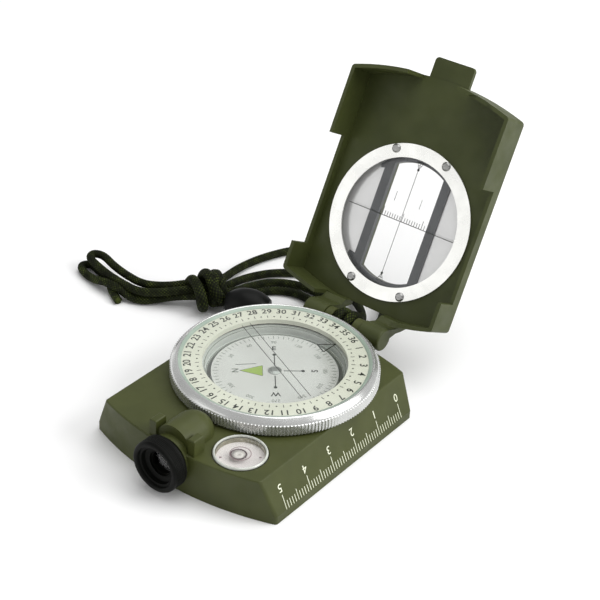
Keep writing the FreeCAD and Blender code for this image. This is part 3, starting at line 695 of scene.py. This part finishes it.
def make_bezel():
    """Turning ring with a coin edge below and a smooth bright chamfer above."""
    glass_low, glass_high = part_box("bezel_glass")
    bore = RING_HIGH.x
    foot = [(BEZEL_BORE, BEZEL_FLOOR), (BEZEL_R - 0.55 * MM, BEZEL_FLOOR)]
    rim_low = BEZEL_FLOOR + EDGE_FOOT
    rim_high = BEZEL_TOP - EDGE_DROP
    edge = [(BEZEL_R, rim_low), (BEZEL_R, rim_low + EDGE_FADE), (BEZEL_R, rim_high - EDGE_FADE),
            (BEZEL_R, rim_high)]
    shoulder = [(BEZEL_R - inward * MM, rim_high + up * MM) for inward, up in SHOULDER]
    crown = [(BEZEL_R - inward * MM, BEZEL_TOP - down * MM) for inward, down in CROWN]
    lip = [(bore + 0.12 * MM, BEZEL_TOP - 0.02 * MM), (bore, BEZEL_TOP - 0.1 * MM)]
    inside = [(bore, glass_high.z), (glass_high.x, glass_high.z), (glass_high.x, glass_low.z),
              (bore, glass_low.z), (bore, BEZEL_STEP_Z), (BEZEL_BORE, BEZEL_STEP_Z)]
    profile = foot + edge + shoulder + crown + lip + inside
    toothed = range(len(foot), len(foot) + len(edge))

    def tooth(index, step, z):
        if index not in toothed:
            return 0.0
        return -TOOTH_DEPTH * (1.0 - TOOTH_SHAPE[step % TOOTH_STEPS])

    verts, faces = turned(profile, TEETH * TOOTH_STEPS, tooth)
    bezel = add_piece("bezel_coin_edge", verts, faces, SILVER, "bezel")
    bezel.data.set_sharp_from_angle(angle=BEZEL_CREASE)
    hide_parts("bezel_ring")


make_bezel()


# ------------------------------------------------------------------ number ring print
RING_TOP = RING_HIGH.z
RING_ZERO = math.radians(64.5)
RING_NUMBERS = 36
RING_STEP = 2 * math.pi / RING_NUMBERS
NUMBER_R = 23.7 * MM
NUMBER_HEIGHT = 2.1 * MM
NUMBER_BOLD = 0.045 * MM
TICK_R = 20.95 * MM
TICK_W = 0.18 * MM
TICK_HALF = 0.55 * MM
DOT_R = 0.24 * MM


def polar(radius, angle, z=0.0):
    return Vector((radius * math.cos(angle), radius * math.sin(angle), z))


def facing_out(radius, angle, z):
    """Placement whose +Y points outward from the dial's centre, at a radius and angle."""
    turn = Matrix.Rotation(angle - math.pi / 2, 4, "Z")
    return Matrix.Translation(polar(radius, angle, z)) @ turn


def make_ring_print():
    """Numbers 1 to 36 clockwise, a tick inside each one and a dot between ticks."""
    ink = Collector()
    for number in range(1, RING_NUMBERS + 1):
        angle = RING_ZERO - RING_STEP * number
        ink.add(*glyph(str(number), NUMBER_HEIGHT, NUMBER_BOLD), facing_out(NUMBER_R, angle, RING_TOP))
        ink.bar(TICK_W, -TICK_HALF, TICK_HALF, facing_out(TICK_R, angle, RING_TOP))
        between = facing_out(TICK_R, angle + RING_STEP / 2, RING_TOP)
        ink.spot((0, 0), DOT_R, 0, INK_THICK, between)
    ink.piece("ring_numbers", INK, "dial_cream", "bezel")


make_ring_print()


# ------------------------------------------------------------------ glass print
GLASS_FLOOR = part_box("bezel_glass")[0].z
LINE_GAP = 2.48 * MM
LINE_HALF = 18.5 * MM
PRINT_W = 0.18 * MM
PRINT_THICK = 0.02 * MM
TRIANGLE_W = 1.9 * PRINT_W
TRIANGLE_HALF = 1.9 * MM
TRIANGLE_FOOT = 13.6 * MM
TRIANGLE_TIP = 18.3 * MM


def make_glass_print():
    """Two sighting lines across the glass and an outlined triangle that marks the ring's zero."""
    ink = Collector()
    place = facing_out(0, RING_ZERO, GLASS_FLOOR - INK_THICK)
    for side in (-1, 1):
        y = side * LINE_GAP / 2
        ink.stroke((-LINE_HALF, y), (LINE_HALF, y), PRINT_W, 0, PRINT_THICK, place)
    apex = (0, TRIANGLE_TIP)
    left = (-TRIANGLE_HALF, TRIANGLE_FOOT)
    right = (TRIANGLE_HALF, TRIANGLE_FOOT)
    for start, end in ((apex, left), (left, right), (right, apex)):
        ink.stroke(start, end, TRIANGLE_W, 0, PRINT_THICK, place)
    ink.piece("glass_lines", INK, "clear_glass", "bezel")


# ------------------------------------------------------------------ glass bevel and capsule grooves
RING_SEGMENTS = 180
GLASS_BEVEL_GAP = 0.04 * MM
GLASS_BEVEL_TOP_W = 0.12 * MM
GLASS_BEVEL_W = 0.95 * MM
SOFT_CREASE = math.radians(40)

# Radius and height of each groove, drawn as a ring of painted shade.
GROOVES = ((19.0 * MM, 14.72 * MM), (18.62 * MM, 12.42 * MM), (18.32 * MM, 12.42 * MM))
GROOVE_HALF_W = 0.07 * MM
GROOVE_HALF_H = 0.03 * MM


def make_glass_edge():
    """Ground bevel round the dial glass."""
    low = GLASS_FLOOR + 0.02 * MM
    high = BEZEL_TOP - 0.12 * MM
    outer = RING_HIGH.x - GLASS_BEVEL_GAP
    bevel = [(outer, low), (outer, high), (outer - GLASS_BEVEL_TOP_W, high),
             (outer - GLASS_BEVEL_W, low + 0.03 * MM), (outer - GLASS_BEVEL_W, low)]
    verts, faces = turned(bevel, RING_SEGMENTS)
    edge = add_piece("glass_edge", verts, faces, GLASS_EDGE, "bezel")
    edge.data.set_sharp_from_angle(angle=SOFT_CREASE)


def make_capsule_lines():
    """Three turned grooves, drawn as fine grey rings of painted shade, on the steps inside the dial
    capsule.
    """
    rings = Collector()
    for radius, z in GROOVES:
        corners = ((-1, -1), (1, -1), (1, 1), (-1, 1))
        section = [(radius + x * GROOVE_HALF_W, z + y * GROOVE_HALF_H) for x, y in corners]
        rings.add(*turned(section, RING_SEGMENTS))
    # The grooves' grey is painted shade.
    rings.piece("capsule_groove_shade", GREY_INK_AND_SHADE, "bowl_grey", "base")


make_glass_print()
make_glass_edge()
make_capsule_lines()


# ------------------------------------------------------------------ card print
CARD_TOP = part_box("compass_card")[1].z
NORTH = math.radians(-140)
CARD_LETTERS = (("N", 0), ("E", 90), ("S", 180), ("W", 270))
LETTER_R = 10.7 * MM
LETTER_HEIGHT = 1.8 * MM
LETTER_BOLD = 0.05 * MM
ARM_W = 0.28 * MM
ARM_START = 2.4 * MM
ARM_END = 7.6 * MM
ARM_DOT_R = 0.5 * MM
ARM_DOT_THICK = 1.1 * INK_THICK
SCALE_R = 16.0 * MM
SCALE_W = 0.14 * MM
SCALE_LONG = 0.75 * MM
SCALE_SHORT = 0.45 * MM
DEGREES_R = 13.6 * MM
DEGREES_HEIGHT = 1.15 * MM
ARROW = ((-2.4 * MM, 3.3 * MM), (2.4 * MM, 3.3 * MM), (0, 9.5 * MM))
ARROW_RIM_W = 0.09 * MM
ARROW_RIM_THICK = 1.2 * INK_THICK
ARROW_SIDE_LINE = ((3.3 * MM, 5.0 * MM), (2.7 * MM, 10.6 * MM))
ARROW_SIDE_W = 0.18 * MM


def card_angle(degrees):
    """Angle on the card of a bearing, clockwise from north."""
    return NORTH - math.radians(degrees)


def make_card_print():
    """Letters on arms, a green triangle for north, a scale of five degrees and numbers of thirty."""
    ink = Collector()
    faint = Collector()
    glow = Collector()
    for degrees in range(0, 360, 5):
        reach = SCALE_LONG if degrees % 10 == 0 else SCALE_SHORT
        faint.bar(SCALE_W, -reach, reach, facing_out(SCALE_R, card_angle(degrees), CARD_TOP))
    for degrees in range(30, 360, 30):
        place = facing_out(DEGREES_R, card_angle(degrees), CARD_TOP)
        faint.add(*glyph(str(degrees), DEGREES_HEIGHT), place)
    for letter, degrees in CARD_LETTERS:
        target = faint if letter == "N" else ink
        place = facing_out(LETTER_R, card_angle(degrees), CARD_TOP)
        target.add(*glyph(letter, LETTER_HEIGHT, LETTER_BOLD), place)
        if letter != "N":
            arm = facing_out(0, card_angle(degrees), CARD_TOP)
            ink.bar(ARM_W, ARM_START, ARM_END, arm)
            ink.spot((0, ARM_END), ARM_DOT_R, 0, ARM_DOT_THICK, arm)
    north = facing_out(0, NORTH, CARD_TOP)
    glow.slab(ARROW, 0, INK_THICK, north)
    for start, end in zip(ARROW, ARROW[1:] + ARROW[:1]):
        ink.stroke(start, end, ARROW_RIM_W, 0, ARROW_RIM_THICK, north)
    ink.stroke(*ARROW_SIDE_LINE, ARROW_SIDE_W, 0, INK_THICK, north)
    ink.piece("card_letters", INK, "card_white", "card")
    faint.piece("card_scale", GREY_INK_AND_SHADE, "card_white", "card")
    glow.piece("north_mark", LUMINOUS, "card_white", "card")


make_card_print()


# ------------------------------------------------------------------ ruler on the slope
SLOPE_LOW = Vector((30.4, 0, 2.4)) * MM
SLOPE_HIGH = Vector((26.0, 0, 12.2)) * MM
RULER_ZERO = 17.33 * MM
RULER_CM = 10 * MM
RULER_LENGTH_MM = 50
RULER_TICK_W = 0.18 * MM
RULER_NUMBER_HEIGHT = 2.3 * MM

# How far up the slope, from 0 at its foot to 1 at the deck, the ticks start and end and the numbers
# stand.
RULER_FOOT = 0.01
TICK_TO_CM = 0.39
TICK_TO_HALF_CM = 0.29
TICK_TO_MM = 0.2
NUMBERS_AT = 0.56


def on_slope(y, share):
    """Placement on the ruler slope: +X along the ruler's reading direction, +Y down the slope."""
    up = (SLOPE_HIGH - SLOPE_LOW).normalized()
    normal = Vector((0, 1, 0)).cross(up)
    along = Vector((0, -1, 0))
    turn = Matrix((along, -up, normal)).transposed().to_4x4()
    point = SLOPE_LOW.lerp(SLOPE_HIGH, share) + Vector((0, y, 0))
    return Matrix.Translation(point) @ turn


def tick_top(millimetre):
    """How far up the slope a tick reaches."""
    if millimetre % 10 == 0:
        return TICK_TO_CM
    if millimetre % 5 == 0:
        return TICK_TO_HALF_CM
    return TICK_TO_MM


def make_ruler():
    """Ruler of 5 cm, with a number at each centimetre."""
    paint = Collector()
    slope = (SLOPE_HIGH - SLOPE_LOW).length
    for millimetre in range(RULER_LENGTH_MM + 1):
        length = slope * (tick_top(millimetre) - RULER_FOOT)
        paint.bar(RULER_TICK_W, -length, 0, on_slope(RULER_ZERO - millimetre * MM, RULER_FOOT))
    for centimetre in range(RULER_LENGTH_MM // 10 + 1):
        place = on_slope(RULER_ZERO - centimetre * RULER_CM, NUMBERS_AT)
        paint.add(*glyph(str(centimetre), RULER_NUMBER_HEIGHT), place)
    paint.piece("ruler_marks", PALE_PAINT, "olive_paint", "base")


make_ruler()


# ------------------------------------------------------------------ bubble level
LEVEL_LOW, LEVEL_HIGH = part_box("vial_body")
LEVEL = (LEVEL_LOW + LEVEL_HIGH) / 2
LEVEL_R = (LEVEL_HIGH.x - LEVEL_LOW.x) / 2
LEVEL_CENTRE = Matrix.Translation((LEVEL.x, LEVEL.y, 0))
LEVEL_SEGMENTS = 96
HOOP_SEGMENTS = 72
BUBBLE_SEGMENTS = 48
FLUID_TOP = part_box("vial_liquid")[1].z
SEAT_Z = FLUID_TOP - 1.35 * MM
CUP_R = LEVEL_R - 0.75 * MM
CUP_WALL = 0.12 * MM
RIM_W = 0.62 * MM

# A disc that is turned from a profile keeps a hole of this radius in its middle.
CORE_R = 0.01 * MM

AIM_RING = (2.7 * MM, 0.11 * MM, FLUID_TOP - 0.12 * MM)
BUBBLE_RING = (2.0 * MM, 0.2 * MM, FLUID_TOP - 0.22 * MM)
BUBBLE_PLACE = Matrix.Translation((LEVEL.x - 0.3 * MM, LEVEL.y - 0.4 * MM, 0))
BUBBLE_R = 1.75 * MM
BUBBLE_RIM_Z = FLUID_TOP - 0.35 * MM
BUBBLE_DEPTH = 0.5 * MM
BUBBLE_STEPS = 8
SEAT_MARK_R = 5.0 * MM
SEAT_MARK_HALF_W = 0.3 * MM
SEAT_MARK_HALF_H = 0.25 * MM
SEAT_MARK_TURN = math.radians(40)


def level_piece(name, shape, place, material, slot, smooth=True):
    """Piece of the level from the verts and faces of a turned shape."""
    part = Collector()
    part.add(*shape, place)
    part.piece(name, material, slot, "base", smooth=smooth)


def make_level_cup():
    """White seat, a brownish-grey wall that is a painted reflection of the olive body, and a pale rim that
    is a painted highlight, seen through the clear top of the level.
    """
    dish = [(CORE_R, SEAT_Z - 0.2 * MM), (CUP_R, SEAT_Z - 0.2 * MM), (CUP_R, SEAT_Z),
            (CUP_R * 0.7, SEAT_Z - 0.03 * MM), (CORE_R, SEAT_Z - 0.06 * MM)]
    level_piece("level_seat_face", turned(dish, LEVEL_SEGMENTS), LEVEL_CENTRE, SEAT, "card_white",
                smooth=False)
    # The wall's brownish grey is a painted reflection of the olive body.
    low = SEAT_Z + 0.02 * MM
    high = FLUID_TOP - 0.06 * MM
    sleeve = [(CUP_R, low), (CUP_R, high), (CUP_R - CUP_WALL, high - 0.08 * MM), (CUP_R - CUP_WALL, low)]
    level_piece("level_wall_reflection", turned(sleeve, LEVEL_SEGMENTS), LEVEL_CENTRE, LEVEL_WALL_REFLECTION, "clear_plastic",
                smooth=False)
    # The rim's pale grey is a painted highlight on the clear vial's edge.
    outer = LEVEL_R - 0.04 * MM
    inner = outer - RIM_W
    top = LEVEL_HIGH.z - 0.06 * MM
    lip = [(outer, FLUID_TOP), (outer, top - 0.45 * MM), (outer - 0.15 * MM, top - 0.12 * MM),
           (outer - 0.4 * MM, top), (inner, top - 0.15 * MM), (inner, FLUID_TOP)]
    level_piece("level_rim_highlight", turned(lip, LEVEL_SEGMENTS), LEVEL_CENTRE, LEVEL_RIM_HIGHLIGHT, "clear_plastic")


def hoop(radius, thick, z):
    """Fine rounded ring."""
    profile = [(radius - thick, z - thick * 0.5), (radius, z - thick), (radius + thick, z - thick * 0.5),
               (radius + thick, z), (radius, z + thick * 0.3), (radius - thick, z)]
    return turned(profile, HOOP_SEGMENTS)


def make_level_marks():
    """Printed ring with two small marks at the sides of the seat, and the bubble with its dark edge."""
    aim = Collector()
    aim.add(*hoop(*AIM_RING), LEVEL_CENTRE)
    marks_place = LEVEL_CENTRE @ Matrix.Rotation(SEAT_MARK_TURN, 4, "Z")
    for side in (-1, 1):
        left = side * SEAT_MARK_R - SEAT_MARK_HALF_W
        right = side * SEAT_MARK_R + SEAT_MARK_HALF_W
        aim.slab([(left, -SEAT_MARK_HALF_H), (right, -SEAT_MARK_HALF_H), (right, SEAT_MARK_HALF_H),
                  (left, SEAT_MARK_HALF_H)], SEAT_Z - 0.02 * MM, SEAT_Z + 0.03 * MM, marks_place)
    aim.piece("level_aim_ring", LEVEL_INK, "clear_plastic", "base", smooth=True)
    level_piece("bubble_edge", hoop(*BUBBLE_RING), BUBBLE_PLACE, BUBBLE_EDGE, "vial_fluid")
    angles = [math.pi / 2 * i / BUBBLE_STEPS for i in range(BUBBLE_STEPS)]
    dome = [(BUBBLE_R * math.cos(angle), BUBBLE_RIM_Z - BUBBLE_DEPTH * math.sin(angle)) for angle in angles]
    dome += [(CORE_R, BUBBLE_RIM_Z - BUBBLE_DEPTH), (CORE_R, FLUID_TOP - 0.3 * MM)]
    level_piece("bubble", turned(dome, BUBBLE_SEGMENTS), BUBBLE_PLACE, BUBBLE, "vial_fluid")


make_level_cup()
make_level_marks()


# ------------------------------------------------------------------ eyepiece
EYE_LOW, EYE_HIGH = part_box("eyepiece_ring")
EYE_R = (EYE_HIGH.x - EYE_LOW.x) / 2
EYE_Z = (EYE_LOW.z + EYE_HIGH.z) / 2
EYE_FRONT = -EYE_LOW.y
EYE_BACK = -EYE_HIGH.y
TUBE_LOW, TUBE_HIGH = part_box("lens_tube")
TUBE_FRONT = -TUBE_LOW.y
TUBE_R = TUBE_HIGH.x
RUN_GAP = 0.08 * MM
KNURLS = 46
KNURL_STEPS = 6
KNURL_ROWS = 26
KNURL_DEPTH = 0.2 * MM

# The ring's section in millimetres. BACK_EDGE is in from the rim and on from the back, FRONT_EDGE in
# from the rim and back from the front. FRONT_CUP is radius and back from the front, and TUBE_CUP is
# radius and on from the front of the lens tube.
BACK_EDGE = ((0.5, 0), (0.1, 0.3))
FRONT_EDGE = ((0.06, 0.5), (0.25, 0.15), (0.55, 0))
FRONT_CUP = ((5.95, 0), (5.8, 0.12), (5.65, 0.8), (5.1, 0.95))
TUBE_CUP = ((4.9, 0.75), (3.8, 0.45), (3.6, 0.4), (3.6, 0.1))


def make_eyepiece():
    """Focusing ring with a diamond knurl and a stepped hollow front."""
    band_low = EYE_BACK + 0.55 * MM
    band_high = EYE_FRONT - 0.75 * MM
    row = (band_high - band_low) / KNURL_ROWS
    band = [(EYE_R - 0.02 * MM, band_low + row * i) for i in range(KNURL_ROWS + 1)]
    back = [(TUBE_R + RUN_GAP, EYE_BACK)]
    back += [(EYE_R - inward * MM, EYE_BACK + on * MM) for inward, on in BACK_EDGE]
    front = [(EYE_R - inward * MM, EYE_FRONT - down * MM) for inward, down in FRONT_EDGE]
    front += [(radius * MM, EYE_FRONT - down * MM) for radius, down in FRONT_CUP]
    front += [(radius * MM, TUBE_FRONT + on * MM) for radius, on in TUBE_CUP]
    front.append((TUBE_R + RUN_GAP, TUBE_FRONT + 0.1 * MM))
    profile = back + band + front
    banded = range(len(back), len(back) + len(band))
    segments = KNURLS * KNURL_STEPS

    def diamond(index, step, z):
        if index not in banded:
            return 0.0
        around = KNURLS * 2 * math.pi * step / segments
        along = KNURLS * z / EYE_R
        fade = min(1.0, (index - banded.start) / 2, (banded.stop - 1 - index) / 2)
        return -KNURL_DEPTH * fade * (0.5 - 0.5 * math.cos(around + along) * math.cos(around - along))

    verts, faces = turned(profile, segments, diamond)
    place = Matrix.Translation((0, 0, EYE_Z)) @ Matrix.Rotation(math.pi / 2, 4, "X")
    eyepiece = add_piece("eyepiece_knurled", [place @ Vector(v) for v in verts], faces, BLACK,
                         "eyepiece")
    eyepiece.data.set_sharp_from_angle(angle=SOFT_CREASE)
    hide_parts("eyepiece_ring")


make_eyepiece()


# ------------------------------------------------------------------ sighting window print
COVER_JOINT = next(j for j in frame["record"]["behaviour"]["joints"] if j["name"] == "cover_hinge")
COVER_SHUT = Vector(COVER_JOINT["pos_m"])
COVER_OPEN = (Matrix.Translation(COVER_SHUT)
              @ Matrix.Rotation(-math.radians(COVER_JOINT["range_deg"][1]), 4, "X")
              @ Matrix.Translation(-COVER_SHUT))

# Heights and places are those of the shut cover. The reticle is in millimetres from the window's middle.
GLASS_FACE = 22.2 * MM
WINDOW_Y = 0.9 * MM
HAIRLINE_X = 0.3 * MM
HAIR_W = 0.16 * MM
HAIR_TOP = 14.9
HAIR_FOOT = -15.7
CROSS_Y = -0.4
CROSS_HALF = 18.0
CROSS_W = 0.2 * MM
SIGHT_TICKS = 19
SIGHT_TICK_STEP = 0.84
SIGHT_TICK_FIRST = -7.2
SIGHT_TICK_W = 0.17 * MM
TALL_TICKS = (1, 9, 17)
TALL_TICK = 2.5
SHORT_TICK = 1.4
SIDE_MARKS = ((-4.1, -6.8), (4.4, -7.0))
SIDE_MARK_HALF = 1.4
SIDE_MARK_W = 0.13 * MM

# Aiming marks at the ends of the hairline: where each one starts, and which way it points.
AIM_MARKS = ((15.3, 1), (-16.0, -1))
AIM_LENGTH = 2.1
AIM_HALF = 1.05
AIM_W = 0.15 * MM
AIM_BAR_AT = 1.2
AIM_BAR_HALF = 0.6
AIM_BAR_W = 0.14 * MM
AIM_DOT_R = 0.4 * MM


def make_reticle():
    """Hairline with aiming marks at both ends, a cross line with a scale and two short side marks."""
    ink = Collector()
    low = GLASS_FACE - INK_THICK
    high = GLASS_FACE - 5 * MICRON
    place = COVER_OPEN @ Matrix.Translation((HAIRLINE_X, WINDOW_Y, 0))

    def line(x0, y0, x1, y1, width=HAIR_W):
        ink.stroke((x0 * MM, y0 * MM), (x1 * MM, y1 * MM), width, low, high, place)

    line(0, HAIR_TOP, 0, HAIR_FOOT)
    line(-CROSS_HALF, CROSS_Y, CROSS_HALF, CROSS_Y, CROSS_W)
    for tick in range(SIGHT_TICKS):
        x = SIGHT_TICK_FIRST + SIGHT_TICK_STEP * tick
        tall = TALL_TICK if tick in TALL_TICKS else SHORT_TICK
        line(x, CROSS_Y, x, CROSS_Y - tall, SIGHT_TICK_W)
    for x, y in SIDE_MARKS:
        line(x, y + SIDE_MARK_HALF, x, y - SIDE_MARK_HALF, SIDE_MARK_W)
    for y, way in AIM_MARKS:
        far = y + AIM_LENGTH * way
        corners = [(0, y), (-AIM_HALF, far), (AIM_HALF, far), (0, y), (0, far)]
        for start, end in zip(corners, corners[1:]):
            line(*start, *end, AIM_W)
        bar_y = y + AIM_BAR_AT * way
        line(-AIM_BAR_HALF, bar_y, AIM_BAR_HALF, bar_y, AIM_BAR_W)
        ink.spot((0, (y - 0.1 * way) * MM), AIM_DOT_R, low, high, place)
    ink.piece("reticle", INK, "clear_glass", "cover")


FRAME_FACE = 23.63 * MM
FRAME_LUG_THICK = 0.35 * MM
LEFT_BAR_X = -11.0 * MM


def make_frame_lugs():
    """Small lugs of the dark frame, one at each end of its left bar."""
    lugs = Collector()
    place = COVER_OPEN @ Matrix.Translation((LEFT_BAR_X, WINDOW_Y, 0))
    for way, reach in ((1, 2.1), (-1, 1.3)):
        outline = [(0, 13.2), (-reach, 12.8), (-reach - 0.2, 13.8), (0, 15.6)][::way]
        lugs.slab([(x * MM, way * y * MM) for x, y in outline], FRAME_FACE, FRAME_FACE + FRAME_LUG_THICK,
                  place)
    lugs.piece("frame_lugs", FRAME_GREY, "black_metal", "cover")


make_reticle()
make_frame_lugs()
